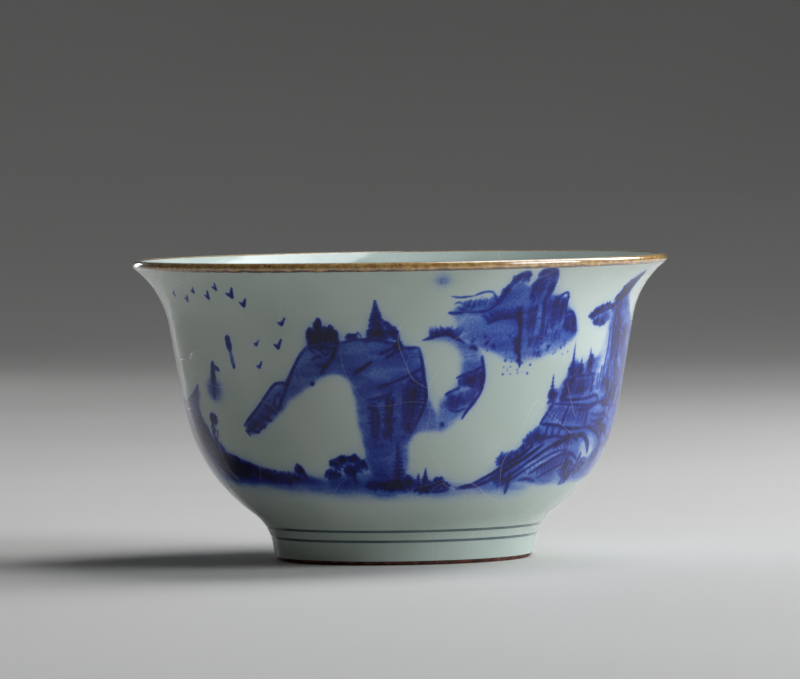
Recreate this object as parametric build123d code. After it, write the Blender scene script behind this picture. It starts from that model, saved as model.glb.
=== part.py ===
from build123d import *

import os
from math import atan2, cos, degrees, radians, sin, sqrt, tan

# A bell-shaped porcelain teacup with a flared lip and a turned foot ring. One clay body carries every
# coat: a pale crackled glaze outside, inside and under the foot, an iron-brown dressing over the lip,
# an iron wash over the bare foot edge, and two painted lines round the foot.
# All of it is turned about +Z. The origin is the middle of the circle that the foot stands on.
# Lengths are in millimetres and angles in degrees. A slope is measured up from horizontal, and a lean
# is measured outwards from vertical. Radii and heights are those of the finished, glazed surface.

# Outside
RIM_DIAMETER = 90.0
CUP_HEIGHT = 50.7
LIP_THICKNESS = 1.55
LIP_SLOPE = 37.0
FLARE_RADIUS = 14.6
WALL_LEAN = 10.2
BELLY_RADIUS = 28.2

# Foot ring
FOOT_DIAMETER = 43.2
FOOT_HEIGHT = 6.2
FOOT_LEAN = 10.0
FOOT_WIDTH = 3.0
FOOT_CHAMFER = 0.45
NECK_RADIUS = 8.0
RECESS_HEIGHT = 3.6
RECESS_LEAN = 8.0
RECESS_FILLET = 1.2

# Inside
INNER_WALL_LEAN = 12.0
INNER_BELLY_RADIUS = 25.0
FLOOR_THICKNESS = 3.4

# Coats
GLAZE_THICKNESS = 0.3
WASH_THICKNESS = 0.1
GLAZE_STOP_HEIGHT = 0.7
RIM_BAND_OUTSIDE = 0.2
RIM_BAND_INSIDE = 0.1
PIGMENT_DEPTH = 0.12
LOWER_LINE_HEIGHT = 4.0
UPPER_LINE_HEIGHT = 5.7
LINE_WIDTH = 0.45


def heading(angle):
    """Unit vector in the (radius, height) section at an angle above horizontal."""
    return Vector(cos(radians(angle)), sin(radians(angle)))


def right_of(angle):
    """Unit vector to the right of a heading, which is out of the cup on a rising outer wall."""
    return heading(angle - 90)


def bearing(point, centre):
    """Angle of a point seen from a centre."""
    return degrees(atan2(point.Y - centre.Y, point.X - centre.X))


def meet_circle(start, slope, centre, radius):
    """The upper point where a sloping line through start meets a circle."""
    along = heading(slope)
    offset = start - centre
    middle = offset.dot(along)
    half_chord = sqrt(middle**2 - offset.dot(offset) + radius**2)
    return start - along * (middle - half_chord)


def arc(centre, radius, first, last):
    """Arc about a centre from one bearing to another, the short way that the two numbers give."""
    return CenterArc(centre, radius, first, last - first)


# The lip is a half round between two parallel tangents, and the flare arcs are concentric below it.
lip_centre = Vector(RIM_DIAMETER / 2 - LIP_THICKNESS / 2, CUP_HEIGHT - LIP_THICKNESS / 2)
flare_centre = lip_centre + right_of(LIP_SLOPE) * (LIP_THICKNESS / 2 + FLARE_RADIUS)
inner_flare_radius = FLARE_RADIUS + LIP_THICKNESS
lip_bearing = LIP_SLOPE + 90
wall_slope = 90 - WALL_LEAN
inner_wall_slope = 90 - INNER_WALL_LEAN

# The belly arc is tangent to the wall line and passes through the shoulder on top of the foot wall.
foot_slope = 90 - FOOT_LEAN
foot_outer = Vector(FOOT_DIAMETER / 2, 0)
shoulder = foot_outer + Vector(tan(radians(FOOT_LEAN)), 1) * FOOT_HEIGHT
wall_top = flare_centre - right_of(wall_slope) * FLARE_RADIUS
belly_centre = meet_circle(
    wall_top - right_of(wall_slope) * BELLY_RADIUS, wall_slope, shoulder, BELLY_RADIUS
)

# The neck arc rounds the corner between the foot wall and the belly, and lies outside both.
neck_centre = foot_outer + right_of(foot_slope) * NECK_RADIUS
neck_centre += heading(foot_slope) * (
    heading(foot_slope).dot(belly_centre - neck_centre)
    - sqrt(
        (BELLY_RADIUS + NECK_RADIUS) ** 2
        - right_of(foot_slope).dot(belly_centre - neck_centre) ** 2
    )
)
neck_bearing = bearing(neck_centre, belly_centre)

# The inner belly arc is a fillet between the inner wall line and the flat floor.
floor_height = RECESS_HEIGHT + FLOOR_THICKNESS
inner_wall_top = flare_centre - right_of(inner_wall_slope) * inner_flare_radius
inner_belly_height = floor_height + INNER_BELLY_RADIUS
inner_belly_start = inner_wall_top - right_of(inner_wall_slope) * INNER_BELLY_RADIUS
inner_belly_centre = inner_belly_start - heading(inner_wall_slope) * (
    (inner_belly_start.Y - inner_belly_height) / sin(radians(inner_wall_slope))
)

# Under the cup, the recess wall rises from the foot's inner edge to the flat underside.
recess_slope = 90 + RECESS_LEAN
foot_inner = foot_outer - Vector(FOOT_WIDTH, 0)
recess_fillet_centre = Vector(
    foot_inner.X
    - tan(radians(RECESS_LEAN)) * (RECESS_HEIGHT - RECESS_FILLET)
    - RECESS_FILLET / cos(radians(RECESS_LEAN)),
    RECESS_HEIGHT - RECESS_FILLET,
)

# Bearings on the flare arcs where the lip dressing stops.
band_outer_bearing = lip_bearing + degrees(RIM_BAND_OUTSIDE / FLARE_RADIUS)
band_inner_bearing = lip_bearing + degrees(RIM_BAND_INSIDE / inner_flare_radius)


def on_foot_wall(height, depth):
    """Point on the outer foot wall at a height, at a depth under the finished surface."""
    across = foot_outer.X + tan(radians(FOOT_LEAN)) * height
    return Vector(across - depth / cos(radians(FOOT_LEAN)), height)


def on_recess_wall(height, depth):
    """Point on the foot ring's inner wall at a height, at a depth under the finished surface."""
    across = foot_inner.X - tan(radians(RECESS_LEAN)) * height
    return Vector(across + depth / cos(radians(RECESS_LEAN)), height)


def outer_section(depth):
    """Edges of the outside from where the glaze stops on the foot up to the lip dressing."""
    neck_low = neck_centre - right_of(foot_slope) * (NECK_RADIUS + depth)
    wall_foot = belly_centre + right_of(wall_slope) * (BELLY_RADIUS - depth)
    return [
        Line(on_foot_wall(GLAZE_STOP_HEIGHT, depth), neck_low),
        arc(neck_centre, NECK_RADIUS + depth, foot_slope + 90, neck_bearing + 180),
        arc(belly_centre, BELLY_RADIUS - depth, neck_bearing, wall_slope - 90),
        Line(wall_foot, wall_top - right_of(wall_slope) * depth),
        arc(flare_centre, FLARE_RADIUS + depth, wall_slope + 90, band_outer_bearing),
    ]


def lip_section(depth):
    """Edges under the lip dressing, from its outer stop over the lip to its inner stop."""
    return [
        arc(flare_centre, FLARE_RADIUS + depth, band_outer_bearing, lip_bearing),
        arc(lip_centre, LIP_THICKNESS / 2 - depth, LIP_SLOPE - 90, LIP_SLOPE + 90),
        arc(flare_centre, inner_flare_radius - depth, lip_bearing, band_inner_bearing),
    ]


def inner_section(depth):
    """Edges of the inside from the lip dressing down to the middle of the floor."""
    wall_end = inner_belly_centre + right_of(inner_wall_slope) * (INNER_BELLY_RADIUS + depth)
    floor_start = inner_belly_centre - Vector(0, INNER_BELLY_RADIUS + depth)
    return [
        arc(flare_centre, inner_flare_radius - depth, band_inner_bearing, inner_wall_slope + 90),
        Line(inner_wall_top + right_of(inner_wall_slope) * depth, wall_end),
        arc(inner_belly_centre, INNER_BELLY_RADIUS + depth, inner_wall_slope - 90, -90),
        Line(floor_start, Vector(0, floor_height - depth)),
    ]


def base_section(depth):
    """Edges of the underside from the glaze stop inside the foot ring to the middle."""
    fillet_low = recess_fillet_centre + right_of(recess_slope) * (RECESS_FILLET + depth)
    fillet_high = recess_fillet_centre + Vector(0, RECESS_FILLET + depth)
    return [
        Line(on_recess_wall(GLAZE_STOP_HEIGHT, depth), fillet_low),
        arc(recess_fillet_centre, RECESS_FILLET + depth, recess_slope - 90, 90),
        Line(fillet_high, Vector(0, RECESS_HEIGHT + depth)),
    ]


def foot_edge_section(depth, lift):
    """Edges of the bare foot from one glaze stop to the other, with its flat at a lift."""
    flat_outer = on_foot_wall(lift, depth) - Vector(FOOT_CHAMFER, 0)
    flat_inner = on_recess_wall(lift, depth) + Vector(FOOT_CHAMFER, 0)
    chamfer_top = lift + FOOT_CHAMFER
    corners = [
        on_foot_wall(GLAZE_STOP_HEIGHT, depth),
        on_foot_wall(chamfer_top, depth),
        flat_outer,
        flat_inner,
        on_recess_wall(chamfer_top, depth),
        on_recess_wall(GLAZE_STOP_HEIGHT, depth),
    ]
    return [Line(a, b) for a, b in zip(corners, corners[1:])]


def turned(edges):
    """Solid made by turning a closed section about the cup's axis."""
    section = make_face(edges)
    return revolve(Plane.XZ * section, Axis.Z)


def coat(surface, covered):
    """Thin solid between the finished section of a coat and the section that it covers."""
    caps = [Line(surface[0] @ 0, covered[0] @ 0)]
    if (surface[-1] @ 1 - covered[-1] @ 1).length > 0:
        caps.append(Line(surface[-1] @ 1, covered[-1] @ 1))
    return turned(surface + covered + caps)


def clay_body():
    """The thrown bowl and its turned foot ring, which are one piece of fired clay."""
    sections = [
        *outer_section(GLAZE_THICKNESS),
        *lip_section(GLAZE_THICKNESS),
        *inner_section(GLAZE_THICKNESS),
        *base_section(GLAZE_THICKNESS),
        *foot_edge_section(GLAZE_THICKNESS, WASH_THICKNESS),
    ]
    floor_middle = Vector(0, floor_height - GLAZE_THICKNESS)
    base_middle = Vector(0, RECESS_HEIGHT + GLAZE_THICKNESS)
    return turned([*sections, Line(floor_middle, base_middle)])


def painted_line(height):
    """One painted ring, set flush in the outer face of the glaze."""
    skin = coat(outer_section(0), outer_section(PIGMENT_DEPTH))
    band = Pos(0, 0, height) * Box(RIM_DIAMETER, RIM_DIAMETER, LINE_WIDTH)
    return skin & band


def foot_wash():
    """Iron wash over the bare foot edge, between the outer glaze and the base glaze."""
    return coat(
        foot_edge_section(GLAZE_THICKNESS - WASH_THICKNESS, 0),
        foot_edge_section(GLAZE_THICKNESS, WASH_THICKNESS),
    )


lower_line = painted_line(LOWER_LINE_HEIGHT)
upper_line = painted_line(UPPER_LINE_HEIGHT)
outer_glaze = coat(outer_section(0), outer_section(GLAZE_THICKNESS))

nodes = {
    "clay_body": clay_body(),
    "outer_glaze": outer_glaze - lower_line - upper_line,
    "inner_glaze": coat(inner_section(0), inner_section(GLAZE_THICKNESS)),
    "base_glaze": coat(base_section(0), base_section(GLAZE_THICKNESS)),
    "lip_dressing": coat(lip_section(0), lip_section(GLAZE_THICKNESS)),
    "foot_wash": foot_wash(),
    "lower_foot_line": lower_line,
    "upper_foot_line": upper_line,
}

os.makedirs("parts", exist_ok=True)
for name, solid in nodes.items():
    export_step(solid, f"parts/{name}.step")
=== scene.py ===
from math import atan2, cos, pi, radians, sin

import bpy
import numpy as np
from mathutils import Matrix, Vector


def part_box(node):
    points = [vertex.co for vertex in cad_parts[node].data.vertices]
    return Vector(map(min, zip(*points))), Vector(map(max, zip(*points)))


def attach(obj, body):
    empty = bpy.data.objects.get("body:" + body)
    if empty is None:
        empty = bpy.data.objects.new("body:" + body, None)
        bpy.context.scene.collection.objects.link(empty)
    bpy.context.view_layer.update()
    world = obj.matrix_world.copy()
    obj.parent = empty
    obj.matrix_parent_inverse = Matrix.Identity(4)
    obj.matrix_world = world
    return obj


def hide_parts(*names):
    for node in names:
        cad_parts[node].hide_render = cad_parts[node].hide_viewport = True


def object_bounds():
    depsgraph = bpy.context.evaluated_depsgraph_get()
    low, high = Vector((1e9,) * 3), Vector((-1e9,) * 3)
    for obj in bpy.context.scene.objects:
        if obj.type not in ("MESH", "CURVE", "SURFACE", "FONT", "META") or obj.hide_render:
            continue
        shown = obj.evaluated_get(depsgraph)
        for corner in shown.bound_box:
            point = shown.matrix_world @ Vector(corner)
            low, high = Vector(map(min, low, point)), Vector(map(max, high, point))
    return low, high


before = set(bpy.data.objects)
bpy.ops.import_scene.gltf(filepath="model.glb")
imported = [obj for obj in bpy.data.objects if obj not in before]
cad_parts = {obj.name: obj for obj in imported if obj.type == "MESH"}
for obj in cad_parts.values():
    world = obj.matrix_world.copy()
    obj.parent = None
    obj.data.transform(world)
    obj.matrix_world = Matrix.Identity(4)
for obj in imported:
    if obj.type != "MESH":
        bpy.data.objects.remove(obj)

# A bell-shaped porcelain teacup: pale crackled celadon glaze over a landscape brushed in cobalt blue, with
# an iron-brown lip and foot edge. The glaze that carries the painting is remade as a fine mesh on the CAD
# glaze's own section, and every other coat keeps its CAD mesh. Lengths here are in millimetres, and MM
# turns them into Blender's metres. A place on the wall is a turn angle in degrees, from the front and
# positive to the right, and a height above the foot.

MM = 0.001
cad_low, cad_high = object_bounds()
CUP_HEIGHT = cad_high.z / MM

# The painting is held as pigment density on a grid over turn angle and height. Across the cup, a place in
# millimetres is measured at the paint's radius, where one degree of turn is DEGREE wide.
PAINT_STEP = 0.1
PAINT_RADIUS = 37.0
DEGREE = radians(PAINT_RADIUS)
PAINT_COLUMNS = 2400
PAINT_ROWS = int(CUP_HEIGHT / PAINT_STEP) + 1
COLUMN_STEP = 2 * pi * PAINT_RADIUS / PAINT_COLUMNS

# The painted glaze mesh starts from coarse cells and halves them where the painting has detail.
COARSE_COLUMNS = 160
COARSE_ROWS = 36
SPLITS = 3
SPLIT_TOLERANCE = 0.035

# Cobalt bleeds a little way into the glaze round every wash: its share of the wash, and its reach.
BLEED = 0.46
BLEED_REACH = 1.1

rng = np.random.default_rng(451)


# ---------------------------------------------------------------- brushwork


def blurred(field, spread):
    """A density field blurred by a spread in millimetres, wrapping round the cup."""
    reach = max(1, int(3 * spread / PAINT_STEP))
    offsets = np.arange(-reach, reach + 1)
    weights = np.exp(-0.5 * (offsets * PAINT_STEP / spread) ** 2)
    weights /= weights.sum()
    across = sum(w * np.roll(field, k, axis=1) for k, w in zip(offsets, weights))
    padded = np.pad(across, ((reach, reach), (0, 0)), mode="edge")
    return sum(w * padded[k + reach : k + reach + len(field)] for k, w in zip(offsets, weights))


def cloud(cell, stretch=1.0):
    """Smooth random field from 0 to 1, with lumps of about a cell's size in millimetres."""
    columns = max(4, int(2 * pi * PAINT_RADIUS / cell / stretch))
    rows = max(3, int(CUP_HEIGHT / cell))
    seeds = rng.random((rows + 1, columns))
    u = np.arange(PAINT_COLUMNS) * columns / PAINT_COLUMNS
    v = np.arange(PAINT_ROWS) * rows / PAINT_ROWS
    left, low = u.astype(int), v.astype(int)
    fu, fv = u - left, (v - low)[:, None]
    fu, fv = fu * fu * (3 - 2 * fu), fv * fv * (3 - 2 * fv)
    right = (left + 1) % columns
    bottom = seeds[low][:, left] * (1 - fu) + seeds[low][:, right] * fu
    top = seeds[low + 1][:, left] * (1 - fu) + seeds[low + 1][:, right] * fu
    return bottom * (1 - fv) + top * fv


def smooth_path(points, step=0.1):
    """Points close together, in millimetres, on a smooth curve through places on the wall."""
    p = np.array([(angle * DEGREE, height) for angle, height in points], float)
    ends = np.vstack([2 * p[0] - p[1], p, 2 * p[-1] - p[-2]])
    runs = []
    for a, b, c, d in zip(ends, ends[1:], ends[2:], ends[3:]):
        count = max(2, int(np.hypot(*(c - b)) / step))
        t = np.linspace(0, 1, count, endpoint=False)[:, None]
        bend = (2 * a - 5 * b + 4 * c - d) * t**2 + (3 * b - a - 3 * c + d) * t**3
        runs.append(0.5 * (2 * b + (c - a) * t + bend))
    return np.vstack([*runs, p[-1:]])


class Painting:
    """Cobalt pigment on the wall: washes, which are soft and even, and ink, brushed on in strokes."""

    def __init__(self):
        self.wash = np.zeros((PAINT_ROWS, PAINT_COLUMNS))
        self.ink = np.zeros((PAINT_ROWS, PAINT_COLUMNS))

    def window(self, x, z, across, up):
        """The patch of the grid round a place, and its distances from the place in millimetres."""
        bottom = max(0, int((z - up) / PAINT_STEP))
        rows = np.arange(bottom, min(PAINT_ROWS, int((z + up) / PAINT_STEP) + 2))
        columns = np.arange(int((x - across) / COLUMN_STEP), int((x + across) / COLUMN_STEP) + 2)
        patch = np.ix_(rows, (columns + PAINT_COLUMNS // 2) % PAINT_COLUMNS)
        return patch, (columns * COLUMN_STEP - x)[None, :], (rows * PAINT_STEP - z)[:, None]

    def dab(self, x, z, radius, load=1.0, soft=0.16):
        """One touch of a round brush, at a place in millimetres."""
        patch, dx, dz = self.window(x, z, radius + soft, radius + soft)
        cover = np.clip((radius - np.hypot(dx, dz)) / soft + 0.5, 0, 1)
        self.ink[patch] = np.maximum(self.ink[patch], load * cover)

    def pool(self, angle, height, spread, rise, load, hard=1.0):
        """A small soft pool of thinned pigment. A hard pool has an even middle."""
        half, tall = spread * DEGREE, rise
        patch, dx, dz = self.window(angle * DEGREE, height, 2.2 * half, 2.2 * tall)
        tone = load * np.exp(-(((dx / half) ** 2 + (dz / tall) ** 2) ** hard))
        self.wash[patch] = np.maximum(self.wash[patch], tone)

    def stroke(self, points, width, load=1.0, taper=(0.25, 0.25)):
        """One brush stroke through places on the wall. The taper is how much of it thins at each end."""
        path = smooth_path(points)
        t = np.linspace(0, 1, len(path))
        start = np.clip(t / max(taper[0], 1e-6), 0, 1)
        end = np.clip((1 - t) / max(taper[1], 1e-6), 0, 1)
        waver = np.interp(t, np.linspace(0, 1, 7), rng.uniform(0.82, 1.18, 7))
        flow = load * np.interp(t, np.linspace(0, 1, 5), rng.uniform(0.78, 1.05, 5))
        radii = (np.sqrt(start * end) * 0.8 + 0.2) * waver * width / 2
        for (x, z), radius, full in zip(path, radii, flow):
            self.dab(x, z, radius, full)

    def area(self, outline, soft):
        """Coverage from 0 to 1 of a smooth closed outline, with a soft edge."""
        edge = smooth_path([*outline, outline[0]], step=0.5)
        rows = np.arange(PAINT_ROWS) * PAINT_STEP
        turn = 2 * pi * PAINT_RADIUS
        middle = (edge[:, 0].min() + edge[:, 0].max()) / 2
        columns = np.arange(PAINT_COLUMNS) - PAINT_COLUMNS // 2
        x = (columns * COLUMN_STEP - middle + turn / 2) % turn - turn / 2 + middle
        cover = np.zeros((PAINT_ROWS, PAINT_COLUMNS))
        a, b = edge[:-1], edge[1:]
        for column in np.nonzero((x >= edge[:, 0].min()) & (x <= edge[:, 0].max()))[0]:
            crosses = (a[:, 0] > x[column]) != (b[:, 0] > x[column])
            near, far = a[crosses], b[crosses]
            share = (x[column] - near[:, 0]) / (far[:, 0] - near[:, 0])
            heights = np.sort(near[:, 1] + share * (far[:, 1] - near[:, 1]))
            for low, high in zip(heights[::2], heights[1::2]):
                cover[(rows >= low) & (rows <= high), column] = 1
        return blurred(cover, soft)

    def lay_wash(self, outline, load, soft=0.5):
        """A broad pool of thinned pigment inside an outline."""
        tone = load * (0.82 + 0.36 * cloud(5.0))
        self.wash = np.maximum(self.wash, self.area(outline, soft) * tone)

    def lift(self, outline, soft=0.6, amount=1.0):
        """Mist: pigment lifted off inside an outline."""
        self.wash *= 1 - amount * self.area(outline, soft)

    def density(self):
        """Total pigment: strokes bleed a little into the glaze, and washes dry in brush streaks."""
        ink = blurred(self.ink, 0.1) * (0.84 + 0.32 * cloud(0.5)) * (0.72 + 0.26 * cloud(3.0))
        streaks = 0.62 + 0.34 * cloud(2.0, 2.0) + 0.36 * cloud(0.7, 5.0)
        wash = self.wash * streaks + 0.16 * blurred(self.ink, 0.55)
        return np.clip(wash * (1 - 0.75 * np.clip(ink, 0, 1)) + ink, 0, 1.1)


def wall(x, z):
    """A place on the wall from a place in millimetres."""
    return x / DEGREE, z


def flick(art, x, z, angle, length, width, load=0.9, taper=0.8):
    """A short stroke that leaves a place at an angle and thins away."""
    mid = (x + length / 2 * cos(angle), z + length / 2 * sin(angle))
    tip = (x + length * cos(angle), z + length * sin(angle))
    art.stroke([wall(x, z), wall(*mid), wall(*tip)], width, load, taper=(0.1, taper))


def leaves(art, angle, height, spread, rise, count, size=0.35, load=0.9):
    """A clump of foliage: a soft pool with short dabs of mixed strength packed into it."""
    art.pool(angle, height, 0.85 * spread, 0.85 * rise, 0.66 * load, 1.6)
    for _ in range(2 * count):
        turn, out = rng.uniform(0, 2 * pi), rng.uniform() ** 0.5
        x = angle * DEGREE + 0.85 * spread * DEGREE * out * cos(turn)
        z = height + 0.85 * rise * out * sin(turn)
        heading = turn if out > 0.7 else rng.uniform(0.3, 2.8)
        length = size * rng.uniform(0.5, 1.5)
        flick(art, x, z, heading, length, size * 0.75, load * rng.uniform(0.4, 1), 0.5)


def spruce(art, angle, foot, top, spread, load=1.0, gap=0.42):
    """A spruce: short drooping branches, wider towards the foot."""
    x = angle * DEGREE
    art.stroke([(angle, foot), (angle, top)], 0.36, load, taper=(0, 0.6))
    tiers = max(4, int((top - foot) / gap))
    for k in range(tiers + 1):
        share = k / tiers
        z = top - (top - foot) * share
        reach = spread * DEGREE * (0.12 + 0.88 * share) * rng.uniform(0.85, 1.1)
        for heading in (-0.3, pi + 0.3):
            width = min(0.42, 0.12 + 0.28 * reach)
            droop = heading + rng.uniform(-0.12, 0.12)
            flick(art, x, z + 0.12, droop, reach, width, load * rng.uniform(0.8, 1), 0.45)


def bird(art, angle, height, size):
    """A far bird: a short wing and a long wing that meet in a darker body."""
    x = angle * DEGREE
    flick(art, x, height, radians(rng.uniform(48, 62)), size * 1.3, size * 0.42, 0.95)
    flick(art, x, height, radians(rng.uniform(140, 165)), size * 0.75, size * 0.42, 0.9)
    art.dab(x, height, size * 0.27, 1.0)


def sail(art, angle, height, tall, lean=0.0, load=0.85):
    """A far boat under sail: a broad dark top that pales down to the water."""
    middle = (angle + 0.4 * lean, height + 0.6 * tall)
    art.stroke([(angle, height + tall), middle], 1.25, load, taper=(0.1, 0.3))
    art.stroke([middle, (angle + lean, height + 0.2)], 0.95, 0.5 * load)
    art.dab((angle + lean) * DEGREE, height + 0.5, 0.34, 0.9 * load)


def grass(art, base, length, count, fan=0.5, load=0.85, width=0.22):
    """Blades that stand off a base line and fan out."""
    path = smooth_path(base)
    picks = np.linspace(0, len(path) - 2, count).astype(int)
    for k, (here, ahead) in enumerate(zip(path[picks], path[picks + 1])):
        upright = atan2(ahead[1] - here[1], ahead[0] - here[0]) + pi / 2
        heading = upright + fan * (0.5 - k / max(1, count - 1)) + rng.uniform(-0.1, 0.1)
        flick(art, *here, heading, length * rng.uniform(0.65, 1.1), width, load)


def rocks(art, low_edge, high_edge, count, width=0.26, load=0.75, ticks=1.5):
    """A rock face or a roof: uneven strokes from a lower to a higher edge, crossed by short ticks."""
    (ax, az), (bx, bz), (cx, cz), (dx, dz) = *low_edge, *high_edge
    for k in range(count):
        t = (k + rng.uniform(-0.3, 0.3)) / max(1, count - 1)
        start, stop = rng.uniform(0, 0.22), rng.uniform(0.78, 1)
        foot = np.array((ax + (bx - ax) * t, az + (bz - az) * t))
        head = np.array((cx + (dx - cx) * t, cz + (dz - cz) * t))
        middle = (foot + head) / 2 + rng.uniform(-0.35, 0.35, 2)
        a, b = foot + (head - foot) * start, foot + (head - foot) * stop
        across = width * rng.uniform(0.7, 1.3)
        art.stroke([b, middle, a], across, load * rng.uniform(0.6, 1.1), taper=(0.15, 0.4))
        for _ in range(rng.poisson(ticks)):
            x, z = foot + (head - foot) * rng.uniform(0.1, 0.95)
            flick(art, x * DEGREE, z, rng.choice([0.5, pi - 0.5]), rng.uniform(0.4, 0.9), 0.2, load)


def tuft(art, angle, height, length, count, low=0.0, high=pi, load=0.85):
    """A pine's tuft: needles that radiate from a point."""
    for k in range(count):
        heading = low + (high - low) * (k + rng.uniform(0, 1)) / count
        flick(art, angle * DEGREE, height, heading, length * rng.uniform(0.7, 1.1), 0.26, load)


def dots(art, low, high, count, size=0.16, load=0.75):
    """Moss dots scattered between two corners."""
    for _ in range(count):
        angle, height = rng.uniform(low[0], high[0]), rng.uniform(low[1], high[1])
        art.dab(angle * DEGREE, height, size * rng.uniform(0.6, 1.5), load * rng.uniform(0.5, 1.1))


def strokes(art, *runs):
    """Several brush strokes, each as its width, its load and the places it goes through."""
    for width, load, *points in runs:
        art.stroke(points, width, load, taper=(0.2, 0.25))


# ---------------------------------------------------------------- the landscape


def paint_shore(art):
    """The water's edge all round the foot of the painting, with its bushes and small pines."""
    art.lay_wash([
        (-84, 15), (-76, 20.5), (-66, 20.3), (-58, 19.2), (-52, 17.8), (-45, 16.6), (-37, 16), (-28, 15.6),
        (-19, 16), (-10, 16.5), (-3, 16.5), (4, 15), (12, 14.6), (20, 14), (28, 14.5), (38, 14), (46, 12.5),
        (36, 11.8), (20, 11.9), (4, 11.6), (-14, 11.7), (-30, 12.2), (-46, 12.9), (-62, 13.2), (-80, 13.2)
    ], 0.4, soft=1.0)
    art.lay_wash([
        (-72, 19.6), (-58, 18.8), (-44, 16.4), (-30, 15.4), (-22, 14), (-44, 13.8), (-64, 14.6)
    ], 0.85, soft=0.6)
    art.lay_wash([(-24, 15), (-4, 15.8), (8, 13.8), (14, 13), (-2, 12.6), (-22, 12.8)], 0.55, soft=0.7)
    for angle, height in ((-62, 18.4), (-56, 17.4), (-51, 16.6), (-46, 15.9), (-41, 15.3), (-36, 15)):
        leaves(art, angle, height, 4.2, 0.9, 30, 0.45, 0.95)
    leaves(art, -31, 16.4, 1.5, 0.9, 30, 0.36, 1.0)
    strokes(art, (0.5, 0.9, (-30.8, 16.4), (-29.8, 15.6), (-29.2, 14.8)))
    for angle, height, spread, rise in (
        (-19, 17.4, 1.9, 0.8), (-17, 18.2, 1.7, 0.6), (-13.8, 18.3, 1.9, 0.6), (-11.8, 17.3, 1.7, 0.9),
        (-14.5, 16.4, 2.6, 0.9), (-20.8, 15.7, 2.6, 0.7)
    ):
        leaves(art, angle, height, spread, rise, 34, 0.4, 1.0)
    strokes(art, (0.45, 0.95, (-15, 17), (-14.6, 15.6), (-14, 14.2)), (0.35, 0.8, (-17, 16.6), (-16, 15.4)))
    leaves(art, -8, 13.8, 3.4, 0.7, 50, 0.36, 0.95)
    leaves(art, -3.5, 13.8, 3.6, 0.9, 70, 0.4, 1.0)
    spruce(art, -1.3, 13.2, 20.9, 2.5, 1.0, 0.62)
    leaves(art, 1.6, 14.2, 1.7, 1.1, 40, 0.38, 1.0)
    spruce(art, 4.4, 12.8, 15.6, 1.5, 0.95)
    spruce(art, 6.4, 12.6, 16.5, 1.7, 0.95)
    leaves(art, 8.4, 13.5, 2.0, 0.8, 34, 0.34, 0.95)
    leaves(art, 10.6, 14.1, 1.6, 0.9, 44, 0.36, 0.95)
    leaves(art, 12.8, 13.4, 1.3, 0.6, 24, 0.3, 0.85)
    strokes(
        art,
        (0.35, 0.7, (7, 12.6), (10, 12.6), (14, 12.8)),
        (0.3, 0.6, (16, 13), (20, 13.1), (24, 13.6)),
    )


def paint_left_hills(art):
    """The dark headland at the far left, with its reeds and a sapling."""
    art.lay_wash([
        (-88, 24), (-80, 26.5), (-72, 27.4), (-66, 29.4), (-64.4, 29.4), (-67, 27), (-66, 24.5), (-63, 22),
        (-58, 19.4), (-60, 15), (-88, 14)
    ], 0.6, soft=0.6)
    strokes(
        art,
        (1.0, 0.8, (-80, 26.4), (-72, 27.7), (-68, 28.8), (-65, 30.2)),
        (0.7, 0.8, (-74, 26), (-73, 22), (-71, 18)),
        (0.6, 0.8, (-70.6, 25.6), (-69.4, 21.6), (-67, 18)),
        (0.6, 0.9, (-67.4, 25.4), (-66.6, 22), (-64.4, 18.4)),
        (0.55, 0.9, (-64.6, 23.4), (-64, 21), (-62, 18.4)),
        (0.5, 0.9, (-60, 24.6), (-61, 22.6), (-62, 20)),
        (0.4, 0.8, (-58.6, 23), (-60, 21.6), (-61.6, 20.6)),
    )
    leaves(art, -59.6, 24.6, 1.9, 1.0, 40, 0.36, 0.95)
    leaves(art, -61, 22.8, 1.2, 0.9, 20, 0.3, 0.85)
    leaves(art, -68, 23, 3.0, 1.4, 40, 0.45, 0.75)
    leaves(art, -75, 21, 4.0, 2.4, 50, 0.5, 0.75)


def paint_sky(art):
    """Far sails on the left, flocks of birds, and a faint touch of blue above the right hill."""
    art.pool(-56.4, 29.6, 3.8, 1.9, 0.6)
    art.pool(-57, 28.6, 2.2, 0.9, 0.5)
    strokes(
        art,
        (1.1, 0.85, (-55, 34.2), (-55.8, 32.4), (-56.4, 30.4)),
        (0.8, 0.9, (-55.6, 33.6), (-54, 33.2), (-52.8, 32.8)),
        (0.7, 0.5, (-56.4, 31), (-56.8, 29.4), (-57.2, 28)),
    )
    sail(art, -47.6, 33, 5.3, 0.9)
    for angle, height, size in (
        (-29.9, 40.6, 1.1), (-31.6, 36.8, 1.25), (-38, 37.2, 0.85), (-37.9, 33.5, 0.95)
    ):
        bird(art, angle, height, size)
    for angle, height, size in (
        (-42.6, 45.2, 1.4), (-39.8, 43.7, 1.15), (-46.6, 46.4, 1.0), (-50.8, 44.9, 1.1), (-55.6, 45.8, 0.9),
        (-60.4, 44.4, 0.95), (-66, 45.2, 0.8)
    ):
        bird(art, angle, height, size)
    art.pool(9.3, 47.6, 2.4, 1.5, 0.26)


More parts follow.
